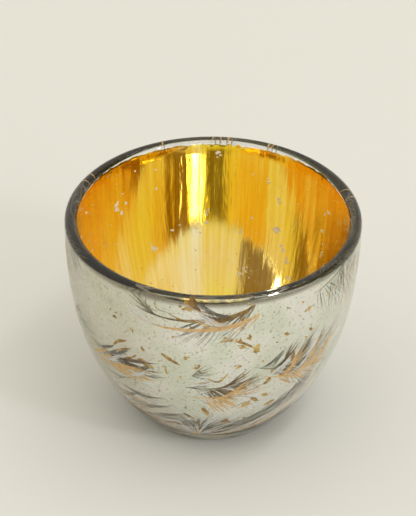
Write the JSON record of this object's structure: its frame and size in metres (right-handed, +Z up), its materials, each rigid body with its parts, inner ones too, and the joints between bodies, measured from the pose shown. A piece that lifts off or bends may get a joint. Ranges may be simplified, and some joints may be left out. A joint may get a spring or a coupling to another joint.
{
  "type": "tealight holder",
  "caption": "Round bowl of thick smoky glass with an engraved and gilded leaf pattern outside and a mirrored gold inside, for one tealight.",
  "frame": {"origin": "centre of the underside, in the plane of the ring that the bowl stands on", "axes": "+Z up along the bowl's axis, out of its mouth; -Y towards the side shown in front, +X to its right"},
  "size_m": [0.09, 0.09, 0.07],
  "materials": {
    "smoky_glass": "gloss",
    "silvering": "satin",
    "gold_lacquer": "gloss",
    "gilt_filling": "satin",
    "ground_glass": "matte"
  },
  "bodies": {
    "root": {"glass_bowl": "smoky_glass", "silver_coat": "silvering", "gold_lining": "gold_lacquer"}
  },
  "joints": []
}
